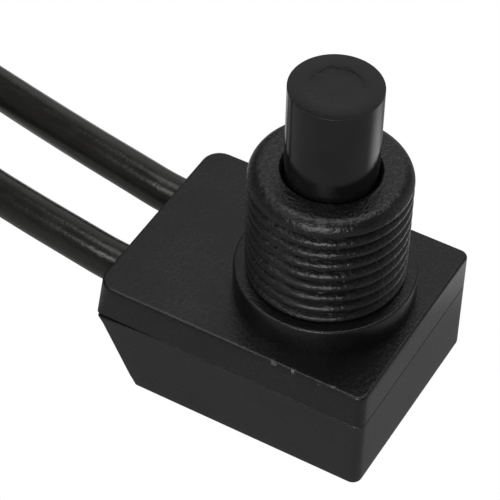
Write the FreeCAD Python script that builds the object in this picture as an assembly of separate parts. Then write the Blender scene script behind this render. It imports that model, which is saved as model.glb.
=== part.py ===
"""A push on push off lamp switch: a two-part plastic body with a threaded bushing, a plunger
button that turns a contact rotor inside it, and two insulated leads tied up in a coil.

All sizes are in millimetres. The frame stands in the middle of the body's underside, +Z up.
The leads leave towards -X, and the bushing stands nearer the +X end.
"""

import os

import FreeCAD, Part

from math import cos, degrees, pi, radians, sin, tan

Vector = FreeCAD.Vector
UP = Vector(0, 0, 1)

# Body
body_length = 19.4
body_width = 14.8
base_height = 5.4
seam_gap = 0.12
cover_height = 2.68
corner_radius = 1.2
inner_corner = 0.6
edge_radius = 0.22
wall = 1.0
top_plate = 0.8
floor_thickness = 1.2
base_end_slant = 2.7
lip_height = 1.0
lip_thickness = 0.8
lip_clearance = 0.08
lip_inner_corner = 0.3

# Bushing
axis_x = 2.95
thread_radius = 5.15
bushing_height = 10.4
shoulder_ledge = 0.73
shoulder_height = 1.95
bushing_round = 0.85
guide_length = 2.5
mouth_chamfer = 0.2
bushing_wall = 1.25
key_width = 0.9
key_depth = 0.45
key_root = 0.2

# Button and its plunger
button_radius = 2.925
button_stands = 6.55
button_edge = 0.3
dimple_radius = 1.65
dimple_depth = 0.1
guide_clearance = 0.075
travel = 3.0
collar_height = 1.5
collar_clearance = 0.1
key_clearance = 0.1
skirt_clearance = 0.25
spring_room = 0.375
hollow_roof = 7.6

# Rotor and its drive teeth
tooth_count = 4
drive_turn = 45.0
tooth_margin = 2.0
tooth_gap = 0.1
tooth_root = 0.3
tooth_inset = 0.05
rotor_rim = 0.3
rotor_thickness = 1.6
post_radius = 0.9
post_height = 4.0
post_chamfer = 0.2
running_clearance = 0.05
hub_radius = 1.5
well_clearance = 0.4

# Contacts
strip = 0.4
foot_width = 1.5
dome_radius = 0.7
dome_height = 0.45
dome_round = 0.3
contact_circle = 3.4
bridge_thickness = 0.3
bridge_ring = 2.4
bridge_arm_width = 1.4
bridge_past_dome = 0.1
contact_setback = 5.6
barrel_radius = 1.0
barrel_length = 2.6
barrel_clearance = 0.02
barrel_mouth_gap = 0.4
crimp_headroom = 0.2
leg_width = 2.4
pocket_clearance = 0.05

# Return spring
spring_radius = 1.45
spring_wire = 0.35
spring_turns = 6
spring_steps = 8
washer_thickness = 0.25
washer_clearance = 0.1

# Leads
lead_diameter = 2.8
conductor_diameter = 1.2
lead_inset = 3.8
lead_clearance = 0.1
lead_straight = 0.4
run_share = 0.45
lead_length = 152.0
strip_length = 10.0
coil_reach = 47.05
coil_aside = 5.0
coil_outer_turn = 15.4
coil_entry = 90.0
coil_upper_end = 262.0
coil_lower_start = 250.0
layer_overlap = 0.05
tie_angle = 102.0
tie_width = 2.4
tie_thickness = 0.5
tie_clearance = 0.1

# Heights and radii that follow from these
cover_bottom = base_height + seam_gap
body_height = cover_bottom + cover_height
ceiling = body_height - top_plate
bushing_top = body_height + bushing_height
button_top = bushing_top + button_stands
lead_height = ceiling - crimp_headroom - barrel_radius
lead_spacing = body_width - 2 * lead_inset
guide_bottom = bushing_top - guide_length
shoulder_radius = thread_radius + shoulder_ledge
shoulder_top = body_height + shoulder_height
cavity_radius = thread_radius - bushing_wall
guide_radius = button_radius + guide_clearance
collar_radius = cavity_radius - collar_clearance
skirt_radius = cavity_radius - key_depth - skirt_clearance
hollow_radius = spring_radius + spring_wire / 2 + spring_room
tooth_inner = hollow_radius + tooth_inset
tooth_outer = skirt_radius - tooth_inset
collar_top = guide_bottom - running_clearance
collar_bottom = collar_top - collar_height
foot_top = floor_thickness + strip
dome_top = foot_top + dome_height
bridge_reach = contact_circle + dome_radius + bridge_past_dome
rotor_radius = bridge_reach + rotor_rim
washer_inner = post_radius + washer_clearance
washer_outer = hollow_radius - washer_clearance
bridge_bottom = dome_top + running_clearance
rotor_bottom = bridge_bottom + bridge_thickness
rotor_top = rotor_bottom + rotor_thickness
plunger_ring_bottom = rotor_top + 2 * travel + 2 * tooth_gap
roof = button_top - hollow_roof
well_radius = rotor_radius + well_clearance
wire_end = -body_length / 2
lead_radius = lead_diameter / 2
coil_inner_turn = coil_outer_turn - lead_diameter
layer_one = lead_radius
layer_two = lead_radius + lead_diameter - layer_overlap
leg_x = axis_x - contact_setback
barrel_start = leg_x - barrel_length
lead_inner_end = barrel_start - barrel_mouth_gap
pocket_near = min(lead_spacing / 2 - leg_width / 2, contact_circle - foot_width / 2) - pocket_clearance
pocket_far = max(lead_spacing / 2 + leg_width / 2, contact_circle + foot_width / 2) + pocket_clearance
AXIS = Vector(axis_x, 0, 0)
coil_centre = Vector(-coil_reach, -coil_aside, 0)


def box(x0, x1, y0, y1, z0, z1):
    return Part.makeBox(x1 - x0, y1 - y0, z1 - z0, Vector(x0, y0, z0))


def post(radius, z0, z1, centre=AXIS):
    return Part.makeCylinder(radius, z1 - z0, centre + UP * z0)


def ring(inner, outer, z0, z1, centre=AXIS):
    return post(outer, z0, z1, centre).cut(post(inner, z0, z1, centre))


def lathe(profile, centre=AXIS, turn=360.0):
    """Turn a closed outline of (radius, height) corners about the vertical through centre."""
    corners = [centre + Vector(r, 0, z) for r, z in profile]
    face = Part.Face(Part.makePolygon(corners + corners[:1]))
    return face.revolve(centre, UP, turn)


def rounded_block(inset, z0, z1, radius):
    """The body's outline, set in by inset, with rounded upright corners."""
    half_x = body_length / 2 - inset
    half_y = body_width / 2 - inset
    block = box(-half_x, half_x, -half_y, half_y, z0, z1)
    upright = [e for e in block.Edges if abs(e.tangentAt(e.FirstParameter).z) > 0.9]
    return block.makeFillet(radius, upright)


def level_edges(shape, height):
    return [
        e
        for e in shape.Edges
        if all(abs(v.Z - height) < 1e-6 for v in e.Vertexes)
        and abs(e.CenterOfMass.z - height) < 1e-6
    ]


def around(shape, count, centre=AXIS):
    copies = []
    for i in range(count):
        copy = shape.copy()
        copy.rotate(centre, UP, i * 360.0 / count)
        copies.append(copy)
    return copies


def sector_tooth(start, stop, low, high):
    """A ring sector from angle start to stop. low and high give its heights at an angle."""
    sections = []
    steps = 6
    for i in range(steps + 1):
        angle = start + (stop - start) * i / steps
        out = Vector(cos(radians(angle)), sin(radians(angle)), 0)
        near = AXIS + out * tooth_inner
        far = AXIS + out * tooth_outer
        z0 = low(angle)
        z1 = high(angle)
        corners = [near + UP * z0, far + UP * z0, far + UP * z1, near + UP * z1]
        sections.append(Part.makePolygon(corners + corners[:1]))
    return Part.makeLoft(sections, True, False)


def lead_ways(open_to):
    """Round ways for the leads through the wire end, opened up or down to a height."""
    radius = lead_radius + lead_clearance
    outside = wire_end - wall
    ways = []
    for side in (1, -1):
        y = side * lead_spacing / 2
        ways.append(Part.makeCylinder(radius, lead_inner_end - outside,
                                      Vector(outside, y, lead_height), Vector(1, 0, 0)))
        ways.append(box(outside, lead_inner_end, y - radius, y + radius,
                        min(open_to, lead_height), max(open_to, lead_height)))
    return ways


def make_cover():
    """Cap, shoulder and threaded bushing are one moulding. The thread itself is left plain."""
    shell = rounded_block(0, cover_bottom, body_height, corner_radius)
    shell = shell.makeFillet(edge_radius, level_edges(shell, body_height))
    hollow = rounded_block(wall, base_height, ceiling, inner_corner)
    shell = shell.cut(hollow)
    bushing = lathe([
        (0, ceiling),
        (shoulder_radius, ceiling),
        (shoulder_radius, shoulder_top),
        (thread_radius, shoulder_top),
        (thread_radius, bushing_top),
        (0, bushing_top),
    ])
    bushing = bushing.makeFillet(bushing_round, level_edges(bushing, bushing_top))
    shell = shell.fuse(bushing)
    bore = lathe([
        (0, ceiling - wall),
        (cavity_radius, ceiling - wall),
        (cavity_radius, guide_bottom),
        (guide_radius, guide_bottom),
        (guide_radius, bushing_top - mouth_chamfer),
        (guide_radius + 2 * mouth_chamfer, bushing_top + mouth_chamfer),
        (0, bushing_top + mouth_chamfer),
    ])
    shell = shell.cut(bore)
    key = box(axis_x - key_width / 2, axis_x + key_width / 2,
              cavity_radius - key_depth, cavity_radius + key_root, ceiling, guide_bottom)
    shell = shell.fuse(around(key, 2))
    return shell.cut(lead_ways(base_height)).removeSplitter()


def make_base():
    """A deep tray: a well for the rotor with its post, two contact pockets and a fitted lip."""
    base = rounded_block(0, 0, base_height, corner_radius)
    slant = Part.Face(Part.makePolygon([
        Vector(wire_end, -body_width, base_height),
        Vector(wire_end, -body_width, -wall),
        Vector(wire_end + base_end_slant * (base_height + wall) / base_height,
               -body_width, -wall),
        Vector(wire_end, -body_width, base_height),
    ])).extrude(Vector(0, 2 * body_width, 0))
    base = base.cut(slant)
    base = base.makeFillet(edge_radius, level_edges(base, 0))
    inset = wall + lip_clearance
    lip_top = base_height + lip_height
    lip = rounded_block(inset, base_height, lip_top, inner_corner)
    lip = lip.cut(rounded_block(inset + lip_thickness, base_height, lip_top, lip_inner_corner))
    base = base.fuse(lip).cut(post(well_radius, floor_thickness, lip_top))
    for near, far in ((pocket_near, pocket_far), (-pocket_far, -pocket_near)):
        base = base.cut(box(lead_inner_end, axis_x, near, far, floor_thickness, base_height))
    base = base.cut(lead_ways(body_height))
    pin_top = floor_thickness + post_height
    pin = post(post_radius, floor_thickness / 2, pin_top)
    pin = pin.makeChamfer(post_chamfer, level_edges(pin, pin_top))
    return base.fuse(pin).removeSplitter()


def flank(angle):
    """Height of the drive ramp above the rotor's top at an angle in degrees."""
    return rotor_top + travel * angle / drive_turn


def make_button():
    """Button, keyed collar and skirt are one moulding, hollow from below for the spring."""
    body = lathe([
        (0, roof),
        (hollow_radius, roof),
        (hollow_radius, plunger_ring_bottom),
        (skirt_radius, plunger_ring_bottom),
        (skirt_radius, collar_bottom),
        (collar_radius, collar_bottom),
        (collar_radius, collar_top),
        (button_radius, collar_top),
        (button_radius, button_top),
        (0, button_top),
    ])
    body = body.makeFillet(button_edge, level_edges(body, button_top))
    body = body.cut(post(dimple_radius, button_top - dimple_depth, button_top + wall))
    notch_width = key_width + 2 * key_clearance
    notch = box(axis_x - notch_width / 2, axis_x + notch_width / 2,
                cavity_radius - key_depth - key_clearance, cavity_radius + wall,
                collar_bottom, collar_top)
    body = body.cut(around(notch, 2))
    tooth = sector_tooth(
        drive_turn + tooth_margin, 2 * drive_turn - tooth_margin,
        lambda angle: flank(angle) + tooth_gap,
        lambda angle: plunger_ring_bottom + tooth_root,
    )
    return body.fuse(around(tooth, tooth_count)).removeSplitter()


def make_rotor():
    """A disc on a hub, with a crown of ramps that the plunger's teeth turn as they come down."""
    bore = post_radius + running_clearance
    rotor = lathe([
        (bore, floor_thickness + running_clearance),
        (hub_radius, floor_thickness + running_clearance),
        (hub_radius, rotor_bottom),
        (rotor_radius, rotor_bottom),
        (rotor_radius, rotor_top),
        (bore, rotor_top),
    ])
    tooth = sector_tooth(
        tooth_margin, drive_turn - tooth_margin,
        lambda angle: rotor_top - tooth_root,
        flank,
    )
    return rotor.fuse(around(tooth, tooth_count)).removeSplitter()


def make_bridge():
    """A stamped brass strip under the rotor: off at 45 degrees to the contacts' line."""
    inner = hub_radius + running_clearance
    strip_bar = box(axis_x - bridge_arm_width / 2, axis_x + bridge_arm_width / 2,
                    -bridge_reach, bridge_reach, bridge_bottom, rotor_bottom)
    tips = post(bridge_reach, bridge_bottom, rotor_bottom)
    bridge = strip_bar.common(tips).fuse(post(bridge_ring, bridge_bottom, rotor_bottom))
    bridge = bridge.cut(post(inner, bridge_bottom, rotor_bottom))
    bridge.rotate(AXIS, UP, -drive_turn)
    return bridge.removeSplitter()


def make_contact(side):
    """Foot with a contact dome, upright leg and crimp barrel, stamped from one strip."""
    y = side * lead_spacing / 2
    dome_at = AXIS + Vector(0, side * contact_circle, 0)
    foot = box(leg_x, axis_x, dome_at.y - foot_width / 2, dome_at.y + foot_width / 2,
               floor_thickness, foot_top)
    pad = post(foot_width / 2, floor_thickness, foot_top, dome_at)
    dome = post(dome_radius, floor_thickness, dome_top, dome_at)
    dome = dome.makeFillet(dome_round, level_edges(dome, dome_top))
    leg = box(leg_x, leg_x + strip, y - leg_width / 2, y + leg_width / 2,
              floor_thickness, lead_height + barrel_radius)
    barrel = Part.makeCylinder(barrel_radius, barrel_length + strip / 2,
                               Vector(barrel_start, y, lead_height), Vector(1, 0, 0))
    way = Part.makeCylinder(conductor_diameter / 2 + barrel_clearance, barrel_length,
                            Vector(barrel_start, y, lead_height), Vector(1, 0, 0))
    return foot.fuse([pad, dome, leg, barrel]).cut(way).removeSplitter()


def make_conductor(side):
    start = Vector(lead_inner_end, side * lead_spacing / 2, lead_height)
    length = leg_x - lead_inner_end - running_clearance
    return Part.makeCylinder(conductor_diameter / 2, length, start, Vector(1, 0, 0))


def make_spring():
    """An open coil spring between the washer on the rotor and the roof of the plunger."""
    low = rotor_top + washer_thickness + spring_wire / 2
    high = roof - spring_wire / 2
    corner_out = spring_radius / cos(pi / spring_steps)
    count = spring_turns * spring_steps
    corners = []
    for i in range(count + 1):
        angle = 2 * pi * i / spring_steps
        level = low + (high - low) * i / count
        corners.append(AXIS + Vector(corner_out * cos(angle), corner_out * sin(angle), level))
    return tube(corners, spring_wire / 2, "return_spring")[0]


def rounded_path(points):
    """Straight runs joined by tangent arcs, each as large as its two runs allow."""
    edges = []
    radii = []
    at = points[0]
    for before, corner, after in zip(points, points[1:], points[2:]):
        into = (corner - before).normalize()
        out = (after - corner).normalize()
        turn = into.getAngle(out)
        cut = run_share * min((corner - before).Length, (after - corner).Length)
        radii.append(cut / tan(turn / 2))
        start = corner - into * cut
        end = corner + out * cut
        inward = (out - into).normalize()
        depth = radii[-1] / cos(turn / 2) - radii[-1]
        middle = corner + inward * depth
        edges.append(Part.LineSegment(at, start).toShape())
        edges.append(Part.Arc(start, middle, end).toShape())
        at = end
    edges.append(Part.LineSegment(at, points[-1]).toShape())
    return Part.Wire(edges), radii


def tube(points, radius, name):
    path, radii = rounded_path(points)
    first = (points[1] - points[0]).normalize()
    section = Part.Wire([Part.makeCircle(radius, points[0], first)])
    solid = path.makePipeShell([section], True, False)
    share = solid.Volume / (pi * radius * radius * path.Length)
    print(f"{name}: {path.Length:.1f} mm long, least bend {min(radii):.1f} mm,",
          f"volume {share:.4f} of section times length")
    return solid, path.Length


def lead_route(side):
    """From the inner end, out through the end wall, to the start of the coil's upper layer."""
    inner = Vector(lead_inner_end, side * lead_spacing / 2, lead_height)
    mouth = Vector(wire_end - lead_straight, side * lead_spacing / 2, lead_height)
    free = {
        1: [(-14.2, 4.42, 6.10), (-18.2, 5.26, 5.88), (-23.2, 6.50, 5.48), (-29.0, 8.05, 5.0),
            (-35.0, 9.50, 4.55), (-41.0, 10.4, 4.15)],
        -1: [(-14.2, -2.94, 6.10), (-18.2, -2.22, 5.88), (-23.2, -1.10, 5.48),
             (-28.6, 0.75, 5.0), (-34.0, 3.25, 4.6), (-38.8, 5.65, 4.3), (-43.0, 7.15, 4.18)],
    }[side]
    turn = coil_outer_turn if side > 0 else coil_inner_turn
    entry = coil_centre + Vector(0, turn, layer_two)
    return [inner, mouth] + [Vector(*p) for p in free] + [entry]


def arc_piece(face, start, turn):
    """Turn a face, drawn in the XZ plane through the coil's centre, from start by turn."""
    solid = face.revolve(coil_centre, UP, turn)
    solid.rotate(coil_centre, UP, start)
    return solid


def bundle_face(height):
    """Two leads side by side: a flat-sided section with round ends."""
    near = coil_centre + Vector(coil_inner_turn, 0, height)
    far = coil_centre + Vector(coil_outer_turn, 0, height)
    r = lead_radius
    side = Vector(r, 0, 0)
    return Part.Face(Part.Wire([
        Part.LineSegment(near - UP * r, far - UP * r).toShape(),
        Part.Arc(far - UP * r, far + side, far + UP * r).toShape(),
        Part.LineSegment(far + UP * r, near + UP * r).toShape(),
        Part.Arc(near + UP * r, near - side, near - UP * r).toShape(),
    ]))


def round_face(turn_radius, height, radius):
    circle = Part.makeCircle(radius, coil_centre + Vector(turn_radius, 0, height),
                             Vector(0, 1, 0))
    return Part.Face(Part.Wire([circle]))


def tie_ring():
    """A soft band round the bundle, flat on the surface that the coil lies on."""
    inner = coil_inner_turn - lead_radius - tie_clearance
    outer = coil_outer_turn + lead_radius + tie_clearance
    roof_inside = layer_two + lead_radius + tie_clearance
    t = tie_thickness
    x = coil_centre.x
    y = coil_centre.y
    hollow = box(x + inner, x + outer, y - tie_width, y + tie_width, t, roof_inside)
    band = box(x + inner - t, x + outer + t, y - tie_width / 2, y + tie_width / 2,
               0, roof_inside + t)
    upright = [e for e in band.Edges if abs(e.tangentAt(e.FirstParameter).y) > 0.9]
    band = band.makeFillet(t, upright).cut(hollow)
    band.rotate(coil_centre, UP, tie_angle)
    return band


def coil_parts(entry_lengths):
    """The coil's solid, its tie and the two stripped ends that come out of it."""
    insulated = lead_length - strip_length
    inside_body = wire_end - lead_inner_end
    left = {side: insulated - (entry_lengths[side] + inside_body) for side in (1, -1)}
    outer_stop = coil_entry + degrees(left[1] / coil_outer_turn)
    inner_stop = coil_entry + degrees(left[-1] / coil_inner_turn)
    print(f"coil turns end at {outer_stop:.1f} and {inner_stop:.1f} degrees")
    upper = arc_piece(bundle_face(layer_two), coil_entry, coil_upper_end - coil_entry)
    lower = arc_piece(bundle_face(layer_one), coil_lower_start, outer_stop - coil_lower_start)
    tail = arc_piece(round_face(coil_inner_turn, layer_one, lead_radius), outer_stop,
                     inner_stop - outer_stop)
    tie = tie_ring()
    coil = upper.fuse([lower, tail]).cut(tie).removeSplitter()
    bare = {}
    for side, turn, stop in ((1, coil_outer_turn, outer_stop),
                             (-1, coil_inner_turn, inner_stop)):
        face = round_face(turn, layer_one, conductor_diameter / 2)
        bare[side] = arc_piece(face, stop, degrees(strip_length / turn))
    return coil, tie, bare


def make_parts():
    parts = {
        "cover": make_cover(),
        "base": make_base(),
        "push_button": make_button(),
        "contact_rotor": make_rotor(),
        "contact_bridge": make_bridge(),
        "spring_washer": ring(washer_inner, washer_outer, rotor_top,
                              rotor_top + washer_thickness),
        "return_spring": make_spring(),
        "fixed_contact_a": make_contact(1),
        "fixed_contact_b": make_contact(-1),
        "conductor_a": make_conductor(1),
        "conductor_b": make_conductor(-1),
    }
    parts["lead_a"], long_a = tube(lead_route(1), lead_radius, "lead_a")
    parts["lead_b"], long_b = tube(lead_route(-1), lead_radius, "lead_b")
    coil, tie, bare = coil_parts({1: long_a, -1: long_b})
    parts["lead_coil"] = coil
    parts["coil_tie"] = tie
    parts["bare_end_a"] = bare[1]
    parts["bare_end_b"] = bare[-1]
    return parts


def main():
    os.makedirs("parts", exist_ok=True)
    for name, shape in make_parts().items():
        solids = shape.Solids
        limits = shape.BoundBox
        print(f"{name:16} solids {len(solids)} valid {shape.isValid()} volume {shape.Volume:9.3f}",
              f"x {limits.XMin:.2f}..{limits.XMax:.2f} y {limits.YMin:.2f}..{limits.YMax:.2f}",
              f"z {limits.ZMin:.2f}..{limits.ZMax:.2f}")
        whole = solids[0] if len(solids) == 1 else Part.makeCompound(solids)
        whole.exportStep(os.path.join("parts", name + ".step"))


main()
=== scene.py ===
# %% [markdown]
# # A small push button lamp switch
#
# The real switch is about 20 mm long: a black body moulded in two halves, a threaded bushing that a
# nut clamps in a lamp's base, a tall round button, and two leads. Its CAD parts come in as the frame.
# They fix the sizes and the joints, and they are shown as they are where nobody looks closely.
#
# This script dresses that frame. Each piece that is seen is built as a new mesh, which then stands for
# its CAD part and moves with the same body. The sizes come first, then a few mesh helpers, the pieces
# one by one, their finishes, and at the end the floor, the camera and the lamps.

# %% Load the frame
from math import ceil, cos, degrees, pi, radians, sin, tan

import bmesh
import bpy
from mathutils import Matrix, Vector


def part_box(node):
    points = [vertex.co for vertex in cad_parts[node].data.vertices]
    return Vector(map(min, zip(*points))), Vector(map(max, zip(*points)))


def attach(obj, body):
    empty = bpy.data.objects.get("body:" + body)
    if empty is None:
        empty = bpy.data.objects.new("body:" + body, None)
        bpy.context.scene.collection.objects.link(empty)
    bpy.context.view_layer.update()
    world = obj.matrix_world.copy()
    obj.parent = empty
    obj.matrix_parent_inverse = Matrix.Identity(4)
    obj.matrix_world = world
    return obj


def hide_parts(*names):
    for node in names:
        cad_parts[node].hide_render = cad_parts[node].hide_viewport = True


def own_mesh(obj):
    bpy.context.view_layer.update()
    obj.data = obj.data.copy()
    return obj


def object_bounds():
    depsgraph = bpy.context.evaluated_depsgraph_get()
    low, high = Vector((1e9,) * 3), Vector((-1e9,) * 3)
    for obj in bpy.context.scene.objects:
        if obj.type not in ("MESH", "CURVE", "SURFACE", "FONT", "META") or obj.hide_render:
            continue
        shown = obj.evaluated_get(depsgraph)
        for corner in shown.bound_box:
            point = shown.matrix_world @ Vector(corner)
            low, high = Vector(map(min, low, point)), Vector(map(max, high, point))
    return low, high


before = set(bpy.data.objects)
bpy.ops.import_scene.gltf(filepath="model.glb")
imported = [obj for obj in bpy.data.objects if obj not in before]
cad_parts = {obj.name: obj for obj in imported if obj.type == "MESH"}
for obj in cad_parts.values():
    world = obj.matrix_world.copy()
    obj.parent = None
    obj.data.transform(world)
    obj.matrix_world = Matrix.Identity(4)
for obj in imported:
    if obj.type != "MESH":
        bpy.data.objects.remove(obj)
cad_low, cad_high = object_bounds()
MM = 0.001
print("CAD box", tuple(cad_low), tuple(cad_high))

# %% [markdown]
# ## Main sizes
#
# The body is a box of 19.4 by 14.8 by 8.2 mm, and the bushing stands a little towards its plain end.
# Such numbers could be typed in wherever they are used. A name in one place is safer, because pieces
# that meet then share one number. What the frame knows is read from its boxes. Blender works in
# metres, so `MM` turns a number of millimetres into one of its own.

# %% Main sizes
cover_low, cover_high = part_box("cover")
half_length = 9.7 * MM
half_width = 7.4 * MM
wall = 1.0 * MM
base_top = 5.4 * MM
cover_bottom = cover_low.z
body_top = 8.2 * MM
bushing_top = cover_high.z
axis = Vector((2.95 * MM, 0, 0))
print("bushing stands", round((bushing_top - body_top) / MM, 2), "mm above the body")

# %% [markdown]
# ## Rings of points
#
# Seen from above, the body is a rounded rectangle and the bushing is a circle. Both could start as
# boxes and cylinders with bevels, but the corners at the leads change their radius on the way up, and
# a bevel keeps one. So each height gets a ring of points of its own. All rings have the same number
# of points, and that lets a rectangle pass into a circle.

# %% Rings
AROUND = 96
PER_CORNER = 9


def circle(radius, z, count=AROUND, centre=axis):
    steps = [2 * pi * i / count for i in range(count)]
    return [Vector((centre.x + radius * cos(a), centre.y + radius * sin(a), z)) for a in steps]


def rectangle(inset, z, radius, low_x=-half_length, low_radius=None):
    """A rounded rectangle with its -X side at low_x, where the corners may have their own radius."""
    x0 = low_x + inset
    x1 = half_length - inset
    y1 = half_width - inset
    low = radius if low_radius is None else low_radius
    corners = [(x1 - radius, y1 - radius, 0, radius), (x0 + low, y1 - low, 90, low),
               (x0 + low, low - y1, 180, low), (x1 - radius, radius - y1, 270, radius)]
    per_side = AROUND // 4 - PER_CORNER
    points = []
    for i, (cx, cy, start, r) in enumerate(corners):
        for k in range(PER_CORNER):
            a = radians(start + 90 * k / (PER_CORNER - 1))
            points.append(Vector((cx + r * cos(a), cy + r * sin(a), z)))
        nx, ny, turn, r = corners[(i + 1) % 4]
        a = radians(turn)
        after = Vector((nx + r * cos(a), ny + r * sin(a), z))
        last = points[-1].copy()
        points += [last.lerp(after, k / (per_side + 1)) for k in range(1, per_side + 1)]
    return points


def circle_facing(ring, radius, z):
    """A circle about the bushing's axis with one point on the same bearing as each of ring's."""
    points = []
    for p in ring:
        away = Vector((p.x - axis.x, p.y - axis.y, 0)).normalized()
        points.append(Vector((axis.x, axis.y, z)) + away * radius)
    return points


print("each ring of the body has", len(rectangle(0, 0, wall)), "points")

# %% [markdown]
# ## Skins
#
# A moulding is a closed skin over its rings. Blender can spin, bridge and extrude, and all three come
# down to faces between one ring and the next. One short function does it for every piece here. A
# turned piece is the same skin over circles whose radius and height follow an outline, and `soften`
# rounds that outline's corners, because no moulded edge is quite sharp.

# %% Skins
def skin(rings, closed=False, capped=False):
    """Corners and faces over a list of rings, closed into a loop or capped if that is asked."""
    count = len(rings[0])
    points = [p for ring in rings for p in ring]
    faces = []
    spans = len(rings) if closed else len(rings) - 1
    for r in range(spans):
        here = r * count
        there = (r + 1) % len(rings) * count
        for i in range(count):
            j = (i + 1) % count
            faces.append((here + i, here + j, there + j, there + i))
    if capped:
        faces.append(tuple(reversed(range(count))))
        faces.append(tuple(range((len(rings) - 1) * count, len(rings) * count)))
    return points, faces


def soften(outline, radius, steps=4):
    """The corners of a closed (radius, height) outline, each turned into a small curve."""
    soft = []
    for i, here in enumerate(outline):
        before = Vector(outline[i - 1])
        after = Vector(outline[(i + 1) % len(outline)])
        corner = Vector(here)
        if corner.x <= 0:
            soft.append(tuple(corner))
            continue
        reach = min(radius, 0.4 * (before - corner).length, 0.4 * (after - corner).length)
        a = corner + (before - corner).normalized() * reach
        b = corner + (after - corner).normalized() * reach
        for k in range(steps + 1):
            t = k / steps
            soft.append(tuple((1 - t) ** 2 * a + 2 * t * (1 - t) * corner + t * t * b))
    return soft


def turned(outline, count=AROUND, centre=axis):
    """The skin of a (radius, height) outline turned about the vertical through centre."""
    rings = [circle(r, z, count, centre) for r, z in outline]
    return skin(rings, closed=True)


def block(x0, x1, y0, y1, z0, z1):
    corners = [Vector((x, y, z)) for z in (z0, z1) for x, y in
               ((x0, y0), (x1, y0), (x1, y1), (x0, y1))]
    return skin([corners[:4], corners[4:]], capped=True)


def rod(x0, x1, y, z, radius, count=48):
    """A closed cylinder along X."""
    rings = []
    for x in (x0, x1):
        rings.append([Vector((x, y + radius * cos(2 * pi * i / count),
                              z + radius * sin(2 * pi * i / count))) for i in range(count)])
    return skin(rings, capped=True)


print("a block has", len(block(0, 1, 0, 1, 0, 1)[1]), "faces")

# %% [markdown]
# ## From skins to objects
#
# A skin is only lists of numbers until a mesh holds it. `bpy.ops` could add and edit meshes as the
# menus do, but it depends on what is selected. Making the data directly is quicker and gives the same
# result on each run. The helpers also cut holes, as the pins of a mould do, put meshes together, and
# shade round faces smooth while real edges stay crisp.

# %% Mesh objects
def make(name, *shapes):
    """One mesh object from several (points, faces) shapes, with clean outward faces."""
    points = []
    faces = []
    for some_points, some_faces in shapes:
        faces += [tuple(len(points) + i for i in face) for face in some_faces]
        points += some_points
    mesh = bpy.data.meshes.new(name)
    mesh.from_pydata([tuple(p) for p in points], [], faces)
    bm = bmesh.new()
    bm.from_mesh(mesh)
    bmesh.ops.remove_doubles(bm, verts=bm.verts, dist=1e-7)
    bmesh.ops.recalc_face_normals(bm, faces=bm.faces)
    bm.to_mesh(mesh)
    bm.free()
    piece = bpy.data.objects.new(name, mesh)
    bpy.context.collection.objects.link(piece)
    return piece


def apply_modifiers(piece):
    """The mesh as the modifiers leave it becomes the piece's own."""
    shaped = piece.evaluated_get(bpy.context.evaluated_depsgraph_get())
    mesh = bpy.data.meshes.new_from_object(shaped)
    piece.modifiers.clear()
    piece.data = mesh


def cut(piece, *cutters):
    """Takes the cutters out of the piece, and removes them."""
    for cutter in cutters:
        change = piece.modifiers.new("cut", "BOOLEAN")
        change.operation = "DIFFERENCE"
        change.solver = "EXACT"
        change.object = cutter
        apply_modifiers(piece)
        bpy.data.objects.remove(cutter)


def smooth(piece, angle):
    """Smooth shading, with a sharp edge wherever two faces meet at more than angle."""
    bm = bmesh.new()
    bm.from_mesh(piece.data)
    for face in bm.faces:
        face.smooth = True
    for edge in bm.edges:
        edge.smooth = edge.calc_face_angle(0) < radians(angle)
    bm.to_mesh(piece.data)
    bm.free()


def join(main, *others):
    """Puts the meshes of others into main."""
    bm = bmesh.new()
    for piece in (main, *others):
        bm.from_mesh(piece.data)
    bm.to_mesh(main.data)
    bm.free()
    for piece in others:
        bpy.data.objects.remove(piece)


def opposite_blocks(name, half, inner, outer, low, high):
    """Two blocks on opposite sides of the bushing's axis, from inner to outer along Y."""
    return [make(name, block(axis.x - half, axis.x + half, y0, y1, low, high))
            for y0, y1 in ((inner, outer), (-outer, -inner))]


def report(piece):
    print(piece.name, len(piece.data.polygons), "faces")


# %% [markdown]
# ## Edges of the body
#
# On the real body the two upright corners at the leads are almost sharp where the halves meet, and the
# cover's corner grows rounder towards its top. The plain end has small even corners. A bevel modifier
# can't change its width along an edge, so every ring gets its radii directly. The edges to the flat
# faces are quarter circles of a few rings. One more ring lies just inside them on the flat face, which
# keeps the smooth shading of the edge from running over it.

# %% Rounded edges
corner_radius = 0.65 * MM
lead_end_corner = 1.3 * MM
sharp_corner = 0.3 * MM
inner_corner = 0.6 * MM
edge_radius = 0.17 * MM
flat_margin = 0.1 * MM


def edge_rings(z, inward, low_x, low_radius, steps=5):
    """Rings round a rounded outer edge at height z, from the wall to the flat face."""
    rings = []
    for k in range(steps + 1):
        a = pi / 2 * k / steps
        inset = edge_radius * (1 - cos(a))
        rings.append(rectangle(inset, z - inward * edge_radius * (1 - sin(a)),
                               corner_radius - inset, low_x, low_radius - inset))
    inset = edge_radius + flat_margin
    rings.append(rectangle(inset, z, corner_radius - inset, low_x, low_radius - inset))
    return rings


print("an edge takes", len(edge_rings(0, 1, -half_length, sharp_corner)), "rings")

# %% [markdown]
# ## Ways for the leads
#
# The two leads leave the body at its end, each through a round way that is half in the cover and half
# in the base. The half rounds could be part of the rings, which would bend many of them for two small
# holes. A boolean cut is simpler: a rod, and a block that opens the way to the seam.

# %% Ways for the leads
lead_radius = 1.4 * MM
lead_spacing = 7.2 * MM
lead_height = 6.2 * MM
lead_inner_end = -5.65 * MM
way_radius = 1.5 * MM


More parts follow.
